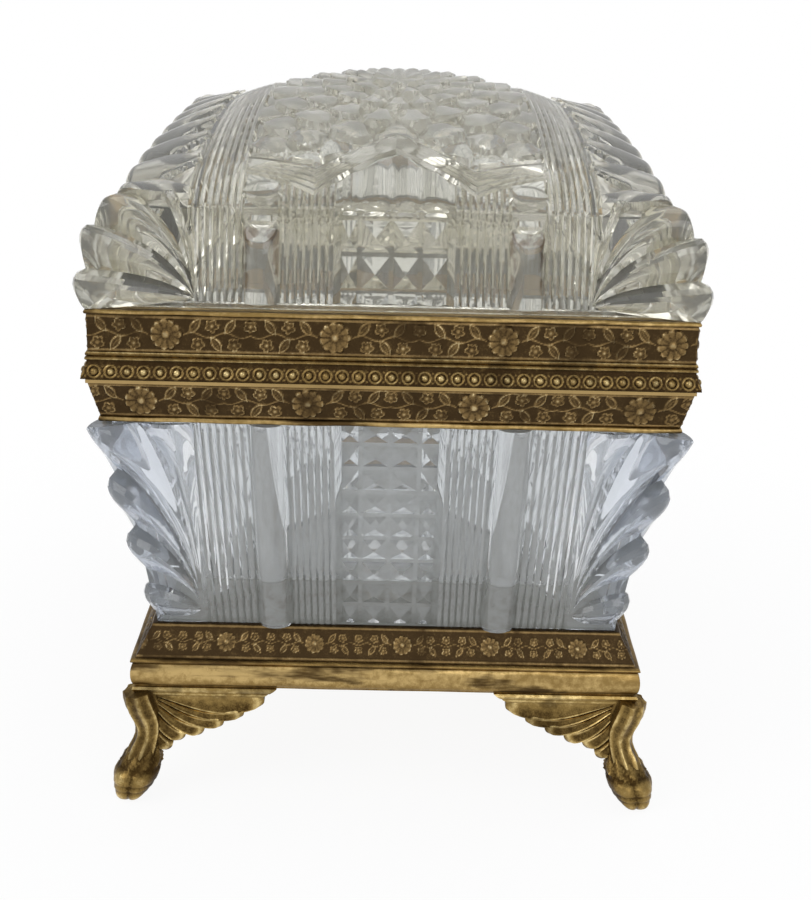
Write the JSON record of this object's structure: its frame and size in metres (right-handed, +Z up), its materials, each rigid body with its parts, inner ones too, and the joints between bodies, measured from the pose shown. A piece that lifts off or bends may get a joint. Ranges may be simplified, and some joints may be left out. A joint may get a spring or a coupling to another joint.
{
  "type": "glass casket box",
  "caption": "Cut-glass casket with a domed hinged lid, stamped gilt brass rims, a small lock and cast feather-and-claw feet.",
  "frame": {"origin": "centre of the footprint on the surface that the feet stand on", "axes": "+X along the length of the box, +Y to the hinge side, +Z up; the picture looks along -X at one short end"},
  "size_m": [0.1382, 0.1075, 0.1277],
  "materials": {
    "body_glass": "clear cut glass with a cool lavender tint",
    "lid_glass": "clear cut glass with a warm grey tint",
    "stamped_gilt": "stamped and gilt, dark ground with worn relief",
    "worn_gilt": "pale gilt, worn bright",
    "cast_gilt": "cast, chased and gilt",
    "sheet_brass": "plain sheet brass, dulled",
    "steel": "dull turned steel",
    "plaster": "old plaster cement, matt"
  },
  "bodies": {
    "body": {"foot_front_left": "cast_gilt", "foot_front_right": "cast_gilt", "foot_back_left": "cast_gilt", "foot_back_right": "cast_gilt", "foot_screws": "steel", "base_plate": "sheet_brass", "base_moulding": "worn_gilt", "base_frieze": "stamped_gilt", "base_bedding": "plaster", "glass_body": "body_glass", "body_cement": "plaster", "body_collar": "sheet_brass", "body_frieze": "stamped_gilt", "body_lower_wire": "worn_gilt", "lock_case": "sheet_brass", "lock_key_pin": "steel", "lock_spring": "steel", "hinge_leaf_body": "sheet_brass", "hinge_pin": "steel"},
    "lid": {"hinge_leaf_lid": "sheet_brass", "lid_collar": "sheet_brass", "lid_frieze": "stamped_gilt", "lid_top_wire": "worn_gilt", "lid_bead_row": "worn_gilt", "lid_cement": "plaster", "glass_lid": "lid_glass", "lock_staple": "sheet_brass"},
    "bolt": {"lock_bolt": "sheet_brass"}
  },
  "joints": [
    {"name": "lid_hinge", "type": "hinge", "parent": "body", "child": "lid", "pos_m": [0, 0.0531, 0.08355], "axis": [-1, 0, 0], "range_deg": [0, 100]},
    {"name": "lock_bolt_slide", "type": "slide", "parent": "body", "child": "bolt", "axis": [1, 0, 0], "range_m": [0, 0.0028]}
  ]
}
